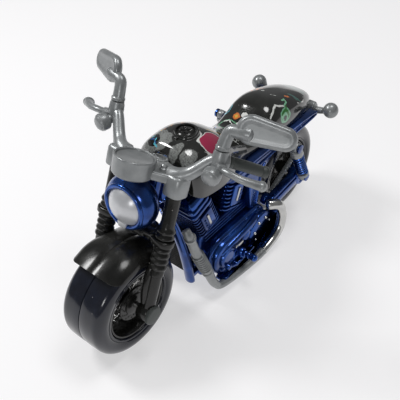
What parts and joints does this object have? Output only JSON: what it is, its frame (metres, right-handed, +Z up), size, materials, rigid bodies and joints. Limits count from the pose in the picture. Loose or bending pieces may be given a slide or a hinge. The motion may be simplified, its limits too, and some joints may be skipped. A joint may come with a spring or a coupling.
{
  "type": "toy motorcycle",
  "caption": "Toy cruiser motorcycle with a steerable fork, rolling wheels, swivelling mirrors and a pull-back gear motor in the engine.",
  "frame": {"origin": "on the ground midway between the wheel contact points, on the centre plane", "axes": "+X forward, +Y to the rider's left, +Z up"},
  "size_m": [0.114, 0.0716, 0.0753],
  "materials": {
    "blue_plating": "vacuum-plated metallic blue, glossy",
    "printed_gloss": "glossy black with a transfer-printed pattern",
    "black_plastic": "semi-gloss black moulded plastic",
    "tyre_plastic": "glossy blue-black hard plastic",
    "silver_paint": "silver painted plastic, satin",
    "dark_grey": "dark grey plastic, satin",
    "pearl_lens": "pearl silver-white, glossy",
    "steel": "bright steel",
    "natural_nylon": "undyed nylon"
  },
  "bodies": {
    "frame": {"backbone": "blue_plating", "downtubes": "blue_plating", "left_seat_rail": "blue_plating", "right_seat_rail": "blue_plating", "crankcase_left": "blue_plating", "crankcase_right": "blue_plating", "primary_cover": "blue_plating", "timing_cover": "blue_plating", "front_cylinder": "blue_plating", "rear_cylinder": "blue_plating", "front_grille": "black_plastic", "tank_seat_shell": "printed_gloss", "filler_cap": "printed_gloss", "case_screws": "steel", "lamp_bar": "dark_grey", "left_exhaust": "silver_paint", "right_exhaust": "silver_paint", "left_swingarm": "blue_plating", "gear_case": "blue_plating", "gear_case_cover": "blue_plating", "gear_pins": "steel", "motor_case_left": "natural_nylon", "motor_case_right": "natural_nylon", "mainspring": "steel", "drive_chain": "silver_paint", "left_shock": "silver_paint", "right_shock": "silver_paint", "shock_springs": "blue_plating", "footpegs": "blue_plating"},
    "fork": {"lower_yoke": "black_plastic", "left_fork": "black_plastic", "right_fork": "black_plastic", "left_fender": "black_plastic", "right_fender": "black_plastic", "handlebar": "silver_paint", "stem_screw": "steel", "instrument_dial": "dark_grey", "headlight_left": "blue_plating", "headlight_right": "blue_plating", "headlight_lens": "pearl_lens", "front_axle": "steel", "axle_caps": "dark_grey", "grips": "dark_grey"},
    "front_wheel": {"front_tyre_left": "tyre_plastic", "front_tyre_right": "tyre_plastic", "front_rim": "black_plastic", "brake_disc": "dark_grey"},
    "rear_wheel": {"rear_tyre_left": "tyre_plastic", "rear_tyre_right": "tyre_plastic", "rear_rim": "black_plastic", "rear_axle": "steel", "axle_gear": "natural_nylon"},
    "rear_idler": {"rear_idler_gear": "natural_nylon"},
    "front_idler": {"front_idler_gear": "natural_nylon"},
    "motor_output": {"output_shaft": "steel", "output_gear": "natural_nylon"},
    "motor_compound": {"compound_gear": "natural_nylon"},
    "motor_arbor": {"spring_arbor": "natural_nylon"},
    "left_mirror": {"left_mirror": "silver_paint"},
    "right_mirror": {"right_mirror": "silver_paint"}
  },
  "joints": [
    {"name": "steering", "type": "hinge", "parent": "frame", "child": "fork", "pos_m": [0.02368, 0, 0.04596], "axis": [-0.3827, 0, 0.9239], "range_deg": [-18, 18]},
    {"name": "front_wheel_spin", "type": "hinge", "parent": "fork", "child": "front_wheel", "pos_m": [0.04, 0, 0.017], "axis": [0, 1, 0], "continuous": true},
    {"name": "rear_wheel_spin", "type": "hinge", "parent": "frame", "child": "rear_wheel", "pos_m": [-0.04, 0, 0.017], "axis": [0, 1, 0], "continuous": true},
    {"name": "rear_idler_spin", "type": "hinge", "parent": "frame", "child": "rear_idler", "pos_m": [-0.032, 0, 0.017], "axis": [0, 1, 0], "continuous": true},
    {"name": "front_idler_spin", "type": "hinge", "parent": "frame", "child": "front_idler", "pos_m": [-0.024, 0, 0.017], "axis": [0, 1, 0], "continuous": true},
    {"name": "motor_output_spin", "type": "hinge", "parent": "frame", "child": "motor_output", "pos_m": [-0.016, 0, 0.017], "axis": [0, 1, 0], "continuous": true},
    {"name": "motor_compound_spin", "type": "hinge", "parent": "frame", "child": "motor_compound", "pos_m": [-0.00754, 0, 0.01392], "axis": [0, 1, 0], "continuous": true},
    {"name": "motor_arbor_spin", "type": "hinge", "parent": "frame", "child": "motor_arbor", "pos_m": [0.00196, 0, 0.01392], "axis": [0, 1, 0], "continuous": true},
    {"name": "left_mirror_swivel", "type": "hinge", "parent": "fork", "child": "left_mirror", "pos_m": [0.01518, 0.0188, 0.06517], "axis": [-0.3827, 0, 0.9239], "range_deg": [-25, 25]},
    {"name": "right_mirror_swivel", "type": "hinge", "parent": "fork", "child": "right_mirror", "pos_m": [0.01518, -0.0188, 0.06517], "axis": [-0.3827, 0, 0.9239], "range_deg": [-25, 25]}
  ],
  "couplings": [
    {"joint": "rear_idler_spin", "follows": "rear_wheel_spin", "ratio": -1},
    {"joint": "front_idler_spin", "follows": "rear_wheel_spin", "ratio": 1},
    {"joint": "motor_output_spin", "follows": "rear_wheel_spin", "ratio": -1},
    {"joint": "motor_compound_spin", "follows": "rear_wheel_spin", "ratio": 0.38462},
    {"joint": "motor_arbor_spin", "follows": "rear_wheel_spin", "ratio": -0.13736}
  ]
}
